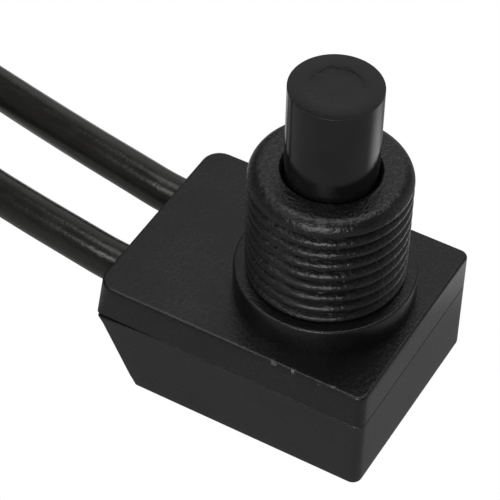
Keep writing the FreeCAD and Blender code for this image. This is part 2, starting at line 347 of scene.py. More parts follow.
def lead_cutters(low, high):
    """Round ways through the end wall, opened to the edge of the half that they are cut from."""
    cutters = []
    outside = -half_length - wall
    for side in (1, -1):
        y = side * lead_spacing / 2
        cutters.append(make("way", rod(outside, lead_inner_end, y, lead_height, way_radius)))
        cutters.append(make("way_mouth", block(outside, lead_inner_end, y - way_radius,
                                               y + way_radius, low, high)))
    return cutters


# %% [markdown]
# ## The cover
#
# The cover is a shallow cap: a wall down to the seam and a flat top with a round hole, over which the
# bushing stands. It could be a box with a solidify modifier. Rings give the same thin wall, and they
# also let the corner at the leads change its radius on the way up.

# %% Cover
seam_round = 0.06 * MM
ceiling = body_top - 0.8 * MM
ring_radius = 5.88 * MM
top_hole = ring_radius - 0.1 * MM
COVER_ROWS = 5

top_edge = edge_rings(body_top, 1, -half_length, lead_end_corner)
cover_rings = [rectangle(wall, cover_bottom, inner_corner),
               rectangle(seam_round, cover_bottom, corner_radius - seam_round,
                         low_radius=sharp_corner - seam_round)]
wall_height = body_top - edge_radius - cover_bottom - seam_round
for k in range(COVER_ROWS):
    low_radius = sharp_corner + (lead_end_corner - sharp_corner) * k / COVER_ROWS
    cover_rings.append(rectangle(0, cover_bottom + seam_round + wall_height * k / COVER_ROWS,
                                 corner_radius, low_radius=low_radius))
cover_rings += top_edge
cover_rings += [circle_facing(top_edge[-1], top_hole, body_top),
                circle_facing(top_edge[-1], top_hole, ceiling),
                rectangle(wall, ceiling, inner_corner)]
cover_shell = make("cover_shell", skin(cover_rings, closed=True))
cut(cover_shell, *lead_cutters(base_top, lead_height))
report(cover_shell)

# %% [markdown]
# ## The base
#
# The base is the deep half. Its end under the leads slants in towards the underside, so the ring's low
# side moves with height. The seam is the tell-tale of a two-part body. A dark line could be painted
# there, but a real gap throws a real shadow: it stands open for the last few millimetres at the leads
# and is closed along the rest, where only the two halves' different blacks show it.

# %% Base
slant = 2.7 * MM
seam_gap = 0.12 * MM
seam_closed = seam_gap - 0.015 * MM
seam_open = 0.16 * MM
mouth_end = 9.2 * MM
mouth_length = 4.5 * MM
BASE_ROWS = 8


def ease(x):
    """0 below 0, 1 above 1, and a soft rise between."""
    x = max(0.0, min(1.0, x))
    return x * x * (3 - 2 * x)


def slant_x(z):
    return -half_length + slant * (1 - z / base_top)


def seam_edge(ring):
    """The base's upper edge: it meets the cover, but for the last few millimetres at the leads."""
    for p in ring:
        closed = ease((p.x + mouth_end) / mouth_length)
        p.z += closed * seam_closed - (1 - closed) * seam_open
    return ring


base_rings = list(reversed(edge_rings(0, -1, slant_x(0), sharp_corner)))
for k in range(1, BASE_ROWS + 1):
    z = edge_radius + (base_top - seam_round - edge_radius) * k / BASE_ROWS
    ring = rectangle(0, z, corner_radius, slant_x(z), sharp_corner)
    base_rings.append(seam_edge(ring) if k == BASE_ROWS else ring)
print("base wall", len(base_rings), "rings, open by", round(seam_open / MM, 2), "mm at the leads")

# %% [markdown]
# ## Inside the base
#
# A lip on the base centres the cover. Inside are a round well for the rotor, a pocket for each contact
# and the post that the rotor turns on. Nobody sees them in the closed switch, so they could be left
# out. They are short to write, and a cut or a turned view of the model then shows a switch and not a
# solid lump.

# %% Inside the base
lip_inset = wall + 0.08 * MM
lip_inner = lip_inset + 0.8 * MM
lip_corner = 0.3 * MM
lip_top = base_top + 1.0 * MM
floor_top = 1.2 * MM
well_radius = 4.85 * MM
pocket_half = 1.25 * MM
post_radius = 0.9 * MM
post_top = 5.2 * MM

lip_edge = rectangle(lip_inner, lip_top, lip_corner)
base_rings += [seam_edge(rectangle(seam_round, base_top, corner_radius - seam_round,
                                   low_radius=sharp_corner - seam_round)),
               rectangle(lip_inset, base_top, inner_corner),
               rectangle(lip_inset, lip_top, inner_corner),
               lip_edge,
               rectangle(lip_inner, base_top, lip_corner),
               circle_facing(lip_edge, well_radius, base_top),
               circle_facing(lip_edge, well_radius, floor_top)]
base_shell = make("base_shell", skin(base_rings, capped=True))
cutters = lead_cutters(lead_height, body_top)
for y in (lead_spacing / 2, -lead_spacing / 2):
    cutters.append(make("pocket", block(lead_inner_end, axis.x, y - pocket_half, y + pocket_half,
                                        floor_top, body_top)))
cut(base_shell, *cutters)
post_outline = [(0, floor_top / 2), (post_radius, floor_top / 2), (post_radius, post_top),
                (0, post_top)]
join(base_shell, make("post", turned(soften(post_outline, 0.2 * MM), 48)))
report(base_shell)

# %% [markdown]
# ## The thread's profile
#
# The bushing carries a fine lamp thread: 27 turns an inch with crests that the mould has left round. A
# helix could be swept round the cylinder and cut out of it, but where it runs out it leaves slivers.
# Here the thread is a height field instead. The depth at a point depends only on how many turns of
# the helix it is up: a round crest first, then a straight flank down to the groove. The same formula
# lets the thread fade in under the top and run out in a groove above the ring.

# %% Thread
crest = 5.15 * MM
pitch = 0.9407 * MM
thread_phase = 10.46 * MM
crest_round = 0.34 * MM
flank_slope = radians(58)
crest_half = crest_round * sin(flank_slope)
crest_drop = crest_round * (1 - cos(flank_slope))
thread_depth = crest_drop + (pitch / 2 - crest_half) * tan(flank_slope)
ring_top = body_top + 1.95 * MM
plain_land = 0.80 * MM
fade_length = 0.15 * MM
foot_groove = 0.16 * MM
foot_length = 0.14 * MM
THREAD_AROUND = 144


def groove(turns):
    """Depth share of the groove, at so many turns of helix."""
    off_crest = (0.5 - abs(turns % 1.0 - 0.5)) * pitch
    if off_crest < crest_half:
        depth = crest_round - (crest_round ** 2 - off_crest ** 2) ** 0.5
    else:
        depth = crest_drop + (off_crest - crest_half) * tan(flank_slope)
    return depth / thread_depth


def groove_depth(angle, z):
    """Depth of the thread's groove at an angle and height. It stops short of both ends."""
    turns = (z - thread_phase) / pitch - angle / (2 * pi)
    fade = ease((bushing_top - plain_land - z) / fade_length)
    foot = ease((ring_top + foot_groove - z) / foot_length)
    return thread_depth * max(groove(turns) * fade, 0.8 * foot)


def thread_ring(radius, z):
    """A ring of the threaded wall, whose crests are at radius."""
    points = []
    for i in range(THREAD_AROUND):
        a = 2 * pi * i / THREAD_AROUND
        r = radius - groove_depth(a, z)
        points.append(Vector((axis.x + r * cos(a), r * sin(a), z)))
    return points


print("thread", round(thread_depth / MM, 3), "mm deep")

# %% [markdown]
# ## The bushing
#
# The bushing and the raised ring at its foot are one moulding with the cover. Their outline could be
# lathed in one go if the thread were not there. So the wall is stacked from below: softened corners
# for the ring, many thin rows for the thread, a quarter circle for the rounded top, and back down
# through the guide hole. The rows are counted from the pitch, so each turn of the thread gets the same
# number. Inside, two small keys stop the button from turning.

# %% Bushing
ROWS_PER_TURN = 18
ROUND_ROWS = 16
top_round = 0.85 * MM
guide_bottom = bushing_top - 2.5 * MM
guide_radius = 3.0 * MM
guide_mouth = 0.2 * MM
cavity_radius = 3.9 * MM

foot_outline = soften([(cavity_radius, ceiling), (ring_radius, ceiling), (ring_radius, ring_top),
                       (crest - thread_depth, ring_top)], 0.16 * MM)
rings = [circle(r, z, THREAD_AROUND) for r, z in foot_outline[:-5]]
thread_bottom = ring_top + 0.02 * MM
thread_top = bushing_top - top_round
rows = ceil((thread_top - thread_bottom) / pitch * ROWS_PER_TURN)
rings += [thread_ring(crest, thread_bottom + (thread_top - thread_bottom) * k / rows)
          for k in range(rows + 1)]
for k in range(1, ROUND_ROWS + 1):
    a = pi / 2 * k / ROUND_ROWS
    rings.append(thread_ring(crest - top_round * (1 - cos(a)), thread_top + top_round * sin(a)))
guide_outline = soften([(crest - top_round, bushing_top), (guide_radius + guide_mouth, bushing_top),
                        (guide_radius, bushing_top - guide_mouth), (guide_radius, guide_bottom),
                        (cavity_radius, guide_bottom), (cavity_radius, ceiling)], 0.06 * MM)
rings += [circle(r, z, THREAD_AROUND) for r, z in guide_outline[5:-5]]
bushing = make("bushing", skin(rings, closed=True))
join(bushing, *opposite_blocks("key", half=0.45 * MM, inner=3.45 * MM, outer=4.1 * MM,
                               low=ceiling, high=guide_bottom))
smooth(cover_shell, 30)
smooth(base_shell, 30)
smooth(bushing, 50)
join(cover_shell, bushing)
report(cover_shell)

# %% [markdown]
# ## The button
#
# The button is one moulding: the round end that the finger meets, with a very shallow dimple, a collar
# that stops under the bushing's top, and a hollow skirt around the spring. A cylinder with bevels could
# stand in for the part that shows. Turning one outline gives the whole piece at the same cost, and the
# dimple is only a few more points in it. Two notches in the collar let the bushing's keys pass.

# %% Button
button_low, button_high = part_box("push_button")
rotor_low, rotor_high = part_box("contact_rotor")
button_radius = 2.925 * MM
button_top = button_high.z
button_edge = 0.018 * MM
dimple_radius = 1.65 * MM
dimple_depth = 0.016 * MM
dimple_floor = button_top - dimple_depth
travel = 3.0 * MM
drive_turn = 45
tooth_margin = 2
tooth_gap = 0.1 * MM
rotor_top = rotor_high.z - travel * (drive_turn - tooth_margin) / drive_turn
plunger_bottom = rotor_top + 2 * travel + 2 * tooth_gap
collar_radius = 3.8 * MM
collar_top = guide_bottom - 0.05 * MM
collar_bottom = collar_top - 1.5 * MM
skirt_radius = 3.2 * MM
hollow_radius = 2.0 * MM
hollow_roof = button_top - 7.6 * MM
EDGE_STEPS = 8

button_outline = soften([
    (0, hollow_roof), (hollow_radius, hollow_roof), (hollow_radius, plunger_bottom),
    (skirt_radius, plunger_bottom), (skirt_radius, collar_bottom), (collar_radius, collar_bottom),
    (collar_radius, collar_top), (button_radius, collar_top),
    (button_radius, button_top - button_edge)], 0.05 * MM)[:-5]
rim = [(button_radius - button_edge * (1 - cos(pi / 2 * k / EDGE_STEPS)),
        button_top - button_edge * (1 - sin(pi / 2 * k / EDGE_STEPS)))
       for k in range(EDGE_STEPS + 1)]
dimple = [(dimple_radius + 0.12 * MM, button_top),
          (dimple_radius + 0.05 * MM, button_top - 0.25 * dimple_depth),
          (dimple_radius - 0.05 * MM, button_top - 0.75 * dimple_depth),
          (dimple_radius - 0.12 * MM, dimple_floor), (0.8 * MM, dimple_floor), (0, dimple_floor)]
button = make("button_moulding", turned(button_outline + rim + dimple))
cut(button, *opposite_blocks("notch", half=0.55 * MM, inner=3.35 * MM, outer=4.2 * MM,
                             low=collar_bottom - 0.05 * MM, high=collar_top + 0.05 * MM))
report(button)

# %% [markdown]
# ## The drive teeth
#
# Four teeth under the skirt turn the rotor as the button comes down: their undersides slope like the
# rotor's ramps. They could be wedges with straight sides, but a ramp that turns about an axis climbs
# along a helix, and a straight wedge would cut into it. Each tooth is a row of small sections, each
# turned a little further and set a little higher. They stay a tenth of a millimetre off the ramps.

# %% Drive teeth
tooth_inner = 2.05 * MM
tooth_outer = 3.15 * MM
tooth_root = plunger_bottom + 0.3 * MM
TOOTH_STEPS = 12


def drive_tooth(start):
    """A ring sector under the skirt with a sloping underside, as the rotor's ramps need."""
    sections = []
    for k in range(TOOTH_STEPS + 1):
        turn = drive_turn + tooth_margin + (drive_turn - 2 * tooth_margin) * k / TOOTH_STEPS
        a = radians(start + turn)
        low = rotor_top + travel * turn / drive_turn + tooth_gap
        corners = ((tooth_inner, low), (tooth_outer, low), (tooth_outer, tooth_root),
                   (tooth_inner, tooth_root))
        sections.append([Vector((axis.x + r * cos(a), r * sin(a), z)) for r, z in corners])
    return skin(sections, capped=True)


join(button, *[make("tooth", drive_tooth(90 * i)) for i in range(4)])
smooth(button, 30)
report(button)

# %% [markdown]
# ## The return spring
#
# An open coil of steel wire lifts the button again. A curve with a round bevel would be the quick way
# to a spring, but only a mesh can be squashed as the button comes down. So the wire is a mesh tube
# along a helix, whose pitch is a little tighter towards both ends.

# %% Spring
spring_low, spring_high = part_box("return_spring")
spring_radius = 1.45 * MM
spring_wire = 0.175 * MM
SPRING_TURNS = 6
STEPS_PER_TURN = 32


def tube(path, radius, count=12):
    """A capped mesh tube along closely spaced points."""
    sections = []
    normal = None
    for i, p in enumerate(path):
        ahead = (path[min(i + 1, len(path) - 1)] - path[max(i - 1, 0)]).normalized()
        if normal is None:
            normal = ahead.orthogonal().normalized()
        normal = (normal - ahead * normal.dot(ahead)).normalized()
        other = ahead.cross(normal)
        sections.append([p + normal * (radius * cos(2 * pi * k / count))
                         + other * (radius * sin(2 * pi * k / count)) for k in range(count)])
    return skin(sections, capped=True)


wire_low = spring_low.z + spring_wire
wire_high = spring_high.z - spring_wire
spring_steps = SPRING_TURNS * STEPS_PER_TURN
spring_path = []
for i in range(spring_steps + 1):
    share = i / spring_steps
    a = 2 * pi * SPRING_TURNS * share
    climb = share + 0.03 * sin(-2 * pi * share)
    spring_path.append(axis + Vector((spring_radius * cos(a), spring_radius * sin(a),
                                      wire_low + (wire_high - wire_low) * climb)))
spring = make("spring_coil", tube(spring_path, spring_wire))
smooth(spring, 60)
report(spring)

# %% [markdown]
# ## The route of the leads
#
# Two supple black leads leave the body, drift a little to one side and are put away in a coil that a
# band holds. Each route could be drawn by hand as a curve. Here its first points are those of the
# photograph's stretch, and the rest is worked out on circles round the coil's centre, because the CAD
# parts take the same way. The coil starts on top and steps down to a lower layer.

# %% Route of the leads
free_points = {
    "a": [(-5.65, 3.6, 6.2), (-10.1, 3.6, 6.2), (-14.2, 4.42, 6.10), (-18.2, 5.26, 5.88),
          (-23.2, 6.50, 5.48), (-29.0, 8.05, 5.0), (-35.0, 9.50, 4.55), (-41.0, 10.4, 4.15)],
    "b": [(-5.65, -3.6, 6.2), (-10.1, -3.6, 6.2), (-14.2, -2.94, 6.10), (-18.2, -2.22, 5.88),
          (-23.2, -1.10, 5.48), (-28.6, 0.75, 5.0), (-34.0, 3.25, 4.6), (-38.8, 5.65, 4.3),
          (-43.0, 7.15, 4.18)],
}
coil_centre = Vector((-47.05 * MM, -5.0 * MM, 0))
coil_radius = {"a": 15.395 * MM, "b": 12.6 * MM}
coil_start = 90.0
coil_stop = {"a": 476.4, "b": 556.9}
upper_layer = 4.15 * MM
lower_layer = 1.4 * MM
layer_step = (235, 55)
tie_bearing = 462.0
tie_reach = 25
tie_lift = 0.35 * MM
strip_length = 10 * MM
tucked = 2
POINTS_PER_TURN = 18
WIRE_STEPS = 24


def coil_height(bearing):
    """Height of a lead's middle round the coil: the upper layer, the step down, the lower one."""
    step_start, step_length = layer_step
    down = ease((bearing - step_start) / step_length)
    z = upper_layer + (lower_layer - upper_layer) * down
    near_tie = ease(1 - abs(bearing - tie_bearing) / tie_reach)
    return z + tie_lift * near_tie


def on_coil(radius, bearing):
    a = radians(bearing)
    return coil_centre + Vector((radius * cos(a), radius * sin(a), coil_height(bearing)))


def lead_points(which):
    """Control points of a lead to its stripped end, and on to the tips of its wires."""
    radius = coil_radius[which]
    step = 360 / POINTS_PER_TURN
    out = radius * 8 / (6 + 2 * cos(radians(step)))  # the spline cuts its corners, so they lie out
    points = [Vector(p) * MM for p in free_points[which]]
    stop = coil_stop[which]
    tip = stop + degrees(strip_length / radius)
    points.append(coil_centre + Vector((0, radius, coil_height(coil_start))))
    bearing = coil_start + step / 2
    while bearing < stop - step / 4:
        points.append(on_coil(out, bearing))
        bearing += step
    points.append(on_coil(radius, stop))
    bare = [on_coil(radius, stop - tucked + (tip - stop + tucked) * k / WIRE_STEPS)
            for k in range(WIRE_STEPS + 1)]
    return points, bare


print("points to the stripped ends", [len(lead_points(which)[0]) for which in "ab"])

# %% [markdown]
# ## The leads
#
# The insulation is a soft round tube over its whole length. A mesh tube would look the same, but a
# spline with a round section stays a cord that other tools can lay out anew, so the leads are left as
# splines. At the stripped end, and in each contact's barrel, seven tinned wires are twisted round one
# another. They are thin mesh tubes that wind round the route, slightly loose at the tip.

# %% Leads and wires
strand_radius = 0.2 * MM
STRAND_TWIST = 1.1
CORE_STEPS = 12


def spline(name, points, radius):
    """One open smooth spline through the air, with a round section."""
    data = bpy.data.curves.new(name, "CURVE")
    data.dimensions = "3D"
    line = data.splines.new("NURBS")
    line.points.add(len(points) - 1)
    for target, p in zip(line.points, points):
        target.co = (*p, 1)
    line.order_u = 3
    line.use_endpoint_u = True
    line.resolution_u = 10
    data.bevel_depth = radius
    data.bevel_resolution = 7
    data.use_fill_caps = True
    curve = bpy.data.objects.new(name, data)
    bpy.context.collection.objects.link(curve)
    return curve


def wires(name, path, looseness):
    """Seven tinned wires twisted round one another along a path, with a slightly loose tip."""
    shapes = [tube(path, strand_radius, 10)]
    for k in range(6):
        strand = []
        for i, p in enumerate(path):
            ahead = (path[min(i + 1, len(path) - 1)] - path[max(i - 1, 0)]).normalized()
            aside = ahead.cross(Vector((0, 0, 1))).normalized()
            above = aside.cross(ahead)
            share = i / (len(path) - 1)
            a = 2 * pi * (k / 6 + STRAND_TWIST * share)
            spread = looseness * 0.25 * ease((share - 0.7) / 0.3) * (k % 3) / 2
            reach = 2 * strand_radius * (1 + spread)
            strand.append(p + (aside * cos(a) + above * sin(a)) * reach * 0.97)
        shapes.append(tube(strand, strand_radius, 10))
    bundle = make(name, *shapes)
    smooth(bundle, 60)
    return bundle


leads = {}
bare_ends = {}
cores = {}
for which in "ab":
    points, bare = lead_points(which)
    leads[which] = spline("lead_wire_" + which, points, lead_radius)
    bare_ends[which] = wires("strands_" + which, bare, 0.6)
    core_low, core_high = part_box("conductor_" + which)
    middle = (core_low + core_high) / 2
    run = [Vector((core_low.x + (core_high.x - core_low.x) * k / CORE_STEPS, middle.y, middle.z))
           for k in range(CORE_STEPS + 1)]
    cores[which] = wires("core_" + which, run, 0)
    report(bare_ends[which])
    report(cores[which])

# %% [markdown]
# ## Shader arithmetic
#
# A finish is a net of nodes. It could be linked node by node, which takes a page for one formula. A
# small class around a socket lets Python's own signs do it: `1 - mask` or `cloud * 0.06` adds the
# Math nodes that it needs. Only numbers go through them, because a Math node turns a colour grey.

# %% Values
class Value:
    """One output socket of a node tree, with arithmetic that adds Math nodes."""

    def __init__(self, nodes, socket):
        self.nodes = nodes
        self.socket = socket

    def math(self, operation, *others, clamp=False):
        sockets = dict(enumerate((self, *others)))
        made = self.nodes.node("Math", {"operation": operation, "use_clamp": clamp}, sockets)
        return Value(self.nodes, made.outputs[0])

    def __add__(self, other):
        return self.math("ADD", other)

    def __sub__(self, other):
        return self.math("SUBTRACT", other)

    def __mul__(self, other):
        return self.math("MULTIPLY", other)

    def __truediv__(self, other):
        return self.math("DIVIDE", other)

    def __pow__(self, other):
        return self.math("POWER", other)

    def __radd__(self, other):
        return self + other

    def __rsub__(self, other):
        return (self * -1) + other

    def __rmul__(self, other):
        return self * other

    def clamped(self):
        return self.math("ADD", 0.0, clamp=True)

    def above(self, low, high):
        """0 up to low, 1 from high, and a straight rise between."""
        return ((self - low) / (high - low)).clamped()


# %% [markdown]
# ## Nodes
#
# Every other node comes from one method: it sets what kind of node it is before it fills the sockets,
# because a setting can change which sockets there are. The same class serves the materials and the
# sky. Noise is placed by object coordinates in metres, so a grain of 0.2 mm is 0.2 mm on each piece.

# %% Nodes
MIX_SHARE, MIX_LOW, MIX_HIGH, MIX_COLOR = 0, 6, 7, 2


class Nodes:
    """A node tree and the few moves that every finish here is made of."""

    def __init__(self, tree):
        self.tree = tree
        self.tree.nodes.clear()

    def feed(self, socket, value):
        if isinstance(value, Value):
            self.tree.links.new(value.socket, socket)
        elif socket.type == "RGBA":
            socket.default_value = (*value, 1)
        else:
            socket.default_value = value

    def node(self, kind, settings=None, sockets=None):
        """Makes a node: its settings first, then its sockets by name or number."""
        made = self.tree.nodes.new("ShaderNode" + kind)
        for key, value in (settings or {}).items():
            setattr(made, key, value)
        for key, value in (sockets or {}).items():
            self.feed(made.inputs[key], value)
        return made

    def value(self, kind, settings=None, sockets=None, output=0):
        """One output of a new node."""
        return Value(self, self.node(kind, settings, sockets).outputs[output])

    def place(self):
        return self.value("TexCoord", output="Object")

    def parts(self, vector):
        """The x, y and z of a vector."""
        return [Value(self, socket) for socket in self.node("SeparateXYZ", {}, {0: vector}).outputs]

    def from_axis(self):
        """Distance from the upright axis of the bushing and the button."""
        x, y, _ = self.parts(self.place())
        return ((x - axis.x) ** 2 + y ** 2) ** 0.5

    def noise(self, size, detail=3.0, rough=0.55, stretch=(1, 1, 1)):
        """Noise with features about size metres across, as a value from 0 to 1."""
        spot = self.value("Mapping", {}, {"Vector": self.place(), "Scale": stretch})
        return self.value("TexNoise", {}, {"Vector": spot, "Scale": 1 / size, "Detail": detail,
                                           "Roughness": rough}, "Fac")

    def mix(self, share, low, high):
        """A colour between two others."""
        return self.value("Mix", {"data_type": "RGBA"},
                          {MIX_SHARE: share, MIX_LOW: low, MIX_HIGH: high}, MIX_COLOR)

    def blend(self, share, one, other):
        """A shader between two others."""
        return self.value("MixShader", {}, {0: share, 1: one, 2: other})

    def bump(self, height, strength, distance):
        return self.value("Bump", {}, {"Height": height, "Strength": strength,
                                       "Distance": distance}, "Normal")


class Finish(Nodes):
    """A material made of nodes."""

    def __init__(self, name, color):
        self.data = bpy.data.materials.new(name)
        self.data.use_nodes = True
        self.data.diffuse_color = (*color, 1)
        super().__init__(self.data.node_tree)

    def surface(self, shader):
        """Ends the material in a shader."""
        self.node("OutputMaterial", {}, {"Surface": shader})
        return self.data

    def principled(self, **inputs):
        """Ends the material in a Principled surface. Base_Color feeds the socket Base Color."""
        sockets = {name.replace("_", " "): value for name, value in inputs.items()}
        return self.surface(self.value("BsdfPrincipled", {}, sockets))


# %% [markdown]
# ## The body's plastic
#
# The body is a black moulding compound: satin, slightly cloudy, with a fine grain and a little dust.
# A painted highlight lies in broken bits along the right part of the cover's upper front edge. The
# bushing's gloss is mottled. All of it could be painted on image textures. Noise needs no image and no
# unwrapping, and the painted edge highlight and the mottling are kept in place by plain masks on the
# position. The base is a lighter black than the cover, which is what shows the seam along the side.

# %% Housing plastic
black = (0.0038, 0.0036, 0.0040)
PLASTIC_IOR = 1.5
edge_band = (0.30 * MM, 0.16 * MM)


def moulded(name, low, high, rough):
    """A satin black moulding: a cloudy tone, a fine grain and a little dust in it."""
    m = Finish(name, low)
    cloud = m.noise(3.2 * MM, 4)
    grain = m.noise(0.22 * MM, 4, 0.65)
    dust = m.noise(0.30 * MM, 5, 0.7).above(0.62, 0.72)
    color = m.mix(cloud.above(0.3, 0.7), low, high)
    color = m.mix(dust * 0.12, color, (0.06, 0.058, 0.056))
    x, y, z = m.parts(m.place())
    far, near = edge_band
    front = y.above(-half_width + far, -half_width + near)
    top = z.above(body_top - far, body_top - near)
    at_edge = front * top
    # Painted highlight: a light grey in broken bits along the right part of the cover's upper front
    # edge.
    glint_bits = m.noise(0.9 * MM, 4, 0.6, stretch=(1, 0.4, 0.4)).above(0.54, 0.58)
    edge_glints = glint_bits * x.above(2.5 * MM, 4.5 * MM)
    color = m.mix(at_edge * edge_glints * 0.8, color, (0.22, 0.22, 0.21))
    within = m.from_axis().above(6.0 * MM, 5.4 * MM)
    on_bushing = within * z.above(ring_top, ring_top + 0.3 * MM)
    mottle = m.noise(0.30 * MM, 3, 0.6)
    normal = m.bump(grain * 0.6 + mottle * on_bushing * 1.8, 0.8, 0.05 * MM)
    return m.principled(Base_Color=color, Roughness=rough + 0.10 * cloud + 0.12 * grain,
                        Normal=normal, IOR=PLASTIC_IOR)


finishes = {
    "housing_plastic": moulded("housing_plastic", black, (0.0062, 0.0060, 0.0067), 0.15),
    "base_plastic": moulded("base_plastic", (0.0100, 0.0096, 0.0104),
                            (0.0150, 0.0146, 0.0154), 0.20),
}
print("the body has", len(finishes), "finishes")

# %% [markdown]
# ## The button's plastic
#
# The button is polished more than the body, and small dark pits lie in a ring round its dimple. The
# pits could be modelled one by one, but they are finer than the dimple's own points. A bump does it: a
# noise that is let through only near the dimple's radius lowers the surface there.

# %% Button plastic
def button_plastic():
    """The same black, glossier, with a ring of small pits round the dimple."""
    m = Finish("button_plastic", black)
    cloud = m.noise(2.0 * MM, 4)
    grain = m.noise(0.18 * MM, 4, 0.65)
    color = m.mix(cloud.above(0.3, 0.7), (0.0050, 0.0046, 0.0048), (0.0085, 0.0080, 0.0080))
    off_ring = (m.from_axis() - dimple_radius).math("ABSOLUTE")
    pits = off_ring.above(0.25 * MM, 0.05 * MM) * m.noise(0.35 * MM, 3).above(0.45, 0.7)
    normal = m.bump(grain * 0.35 - pits * 0.55, 0.5, 0.03 * MM)
    return m.principled(Base_Color=color, Roughness=0.09 + 0.06 * cloud + 0.04 * grain,
                        Normal=normal, IOR=PLASTIC_IOR)


finishes["button_plastic"] = button_plastic()
print("finishes so far", sorted(finishes))

# %% [markdown]
# ## The leads' insulation
#
# The soft plastic of the leads is a slightly olive black. It was drawn through a die, so its gloss runs
# in streaks along the lead, broken by tiny scales. A plain glossy black would show one clean line of
# light. A noise that is stretched along X gives the streaks, and a finer one gives the scales.

# %% Lead insulation
def lead_insulation():
    m = Finish("lead_insulation", black)
    cloud = m.noise(2.5 * MM, 4)
    streak = m.noise(0.5 * MM, 4, 0.6, stretch=(0.25, 1, 1))
    color = m.mix(cloud, (0.0085, 0.0082, 0.0070), (0.0150, 0.0145, 0.0120))
    scales = m.noise(0.28 * MM, 3, 0.6)
    normal = m.bump(streak * 0.4 + scales * 0.6, 0.7, 0.04 * MM)
    return m.principled(Base_Color=color, Roughness=0.17 + 0.15 * streak.above(0.35, 0.7),
                        Normal=normal, IOR=PLASTIC_IOR)


finishes["lead_insulation"] = lead_insulation()
print("finishes so far", sorted(finishes))

# %% [markdown]
# ## The small parts' finishes
#
# The band round the coil is a dull black, the rotor is natural nylon, and the metals are stamped
# brass, drawn spring steel and tinned strands. Most of them are hidden, so flat colours would pass. One
# function for the plain plastics and one for the metals cost little more, and give a grain to the
# first and fine lines to the second.

# %% Plain plastics and metals
def plain_plastic(name, seen_as, low, high, size, rough, uneven):
    m = Finish(name, seen_as)
    grain = m.noise(size, 3)
    return m.principled(Base_Color=m.mix(grain, low, high), Roughness=rough + uneven * grain,
                        Normal=m.bump(grain, 0.2, 0.01 * MM))


def metal(name, low, high, size, rough):
    """A drawn or stamped metal with fine lines along X."""
    m = Finish(name, high)
    lines = m.noise(size, 4, 0.6, stretch=(0.15, 1, 1))
    return m.principled(Base_Color=m.mix(lines, low, high), Metallic=1.0,
                        Roughness=rough + 0.15 * lines, Normal=m.bump(lines, 0.25, 0.01 * MM))


finishes["tie_plastic"] = plain_plastic("tie_plastic", black, black, (0.02, 0.02, 0.02),
                                        0.3 * MM, 0.4, 0.15)
finishes["rotor_plastic"] = plain_plastic("rotor_plastic", (0.62, 0.60, 0.54), (0.58, 0.56, 0.50),
                                          (0.68, 0.66, 0.60), 0.4 * MM, 0.4, 0.1)
finishes["contact_brass"] = metal("contact_brass", (0.50, 0.33, 0.12), (0.66, 0.46, 0.20),
                                  0.2 * MM, 0.28)
finishes["spring_steel"] = metal("spring_steel", (0.42, 0.43, 0.44), (0.58, 0.59, 0.60),
                                 0.15 * MM, 0.25)
finishes["tinned_strands"] = metal("tinned_strands", (0.55, 0.55, 0.54), (0.72, 0.72, 0.71),
                                   0.2 * MM, 0.3)
print("all finishes", sorted(finishes))

# %% [markdown]
# ## Putting it together
#
# The switch has three bodies that move: the housing, the button and the rotor. Parenting and animating
# the pieces by hand would work, but the frame already knows the joints. Each new piece only says which
# body it rides on, which CAD parts it stands for and which finish it has.

# %% Dress
def dress(piece, slot, body, *nodes, finish=None):
    """Gives a piece its finish, its body and the CAD parts that it stands for."""
    piece.data.materials.clear()
    piece.data.materials.append(finishes[finish or slot])
    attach(piece, body)
    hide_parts(*nodes)


dress(cover_shell, "housing_plastic", "housing", "cover")
dress(base_shell, "housing_plastic", "housing", "base", finish="base_plastic")
dress(button, "button_plastic", "button", "push_button")
dress(spring, "spring_steel", "housing", "return_spring")
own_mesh(spring)
for which in "ab":
    dress(cores[which], "tinned_strands", "housing", "conductor_" + which)
    dress(bare_ends[which], "tinned_strands", "housing", "bare_end_" + which)
dress(leads["a"], "lead_insulation", "housing", "lead_a", "lead_coil")
dress(leads["b"], "lead_insulation", "housing", "lead_b")

# %% [markdown]
# ## Hidden parts
#
# The rotor, the contacts and the band keep their CAD meshes, which are good enough inside a closed
# body, and only change their finish.

for name, slot in (("contact_rotor", "rotor_plastic"), ("contact_bridge", "contact_brass"),
                   ("spring_washer", "spring_steel"), ("fixed_contact_a", "contact_brass"),
                   ("fixed_contact_b", "contact_brass"), ("coil_tie", "tie_plastic")):
    for material_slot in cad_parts[name].material_slots:
        material_slot.material = finishes[slot]

# %% [markdown]
# ## The floor
#
# The switch stands on plain white. A white floor could be lit until it clips, but that light would
# wash out the black plastic too. Instead the floor is an ordinary pale surface for the light, so it
# keeps the switch's soft shadow, and a surface that shines plain white for rays from the camera, a
# mirror or a glass.

# %% Floor
floor_reach = 0.6
floor_thick = 0.002
pale = (0.8, 0.8, 0.8)
white = (1, 1, 1)


def stage_white():
    m = Finish("stage_white", pale)
    rays = m.node("LightPath").outputs
    seen = (Value(m, rays["Is Camera Ray"]) + Value(m, rays["Is Glossy Ray"])
            + Value(m, rays["Is Transmission Ray"])).clamped()
    real = m.value("BsdfDiffuse", {}, {"Color": pale})
    plain = m.value("Emission", {}, {"Color": white, "Strength": 1.0})
    return m.surface(m.blend(seen, real, plain))


ground = make("ground", block(-floor_reach, floor_reach, -floor_reach, floor_reach,
                              -floor_thick, cad_low.z - 0.00002))
ground.data.materials.append(stage_white())
print("floor", 2 * floor_reach, "m across")

# %% [markdown]
# ## What the plastic mirrors
#
# Glossy black plastic mirrors the floor, and that mirror image is a mid grey with two lighter patches,
# because a real floor is only lit here and there. A grey floor would spoil the white ground. So a flat
# sheet just above it is seen by mirror rays alone and shines with that grey. Camera, shadow and
# diffuse rays pass through it as if it weren't there.

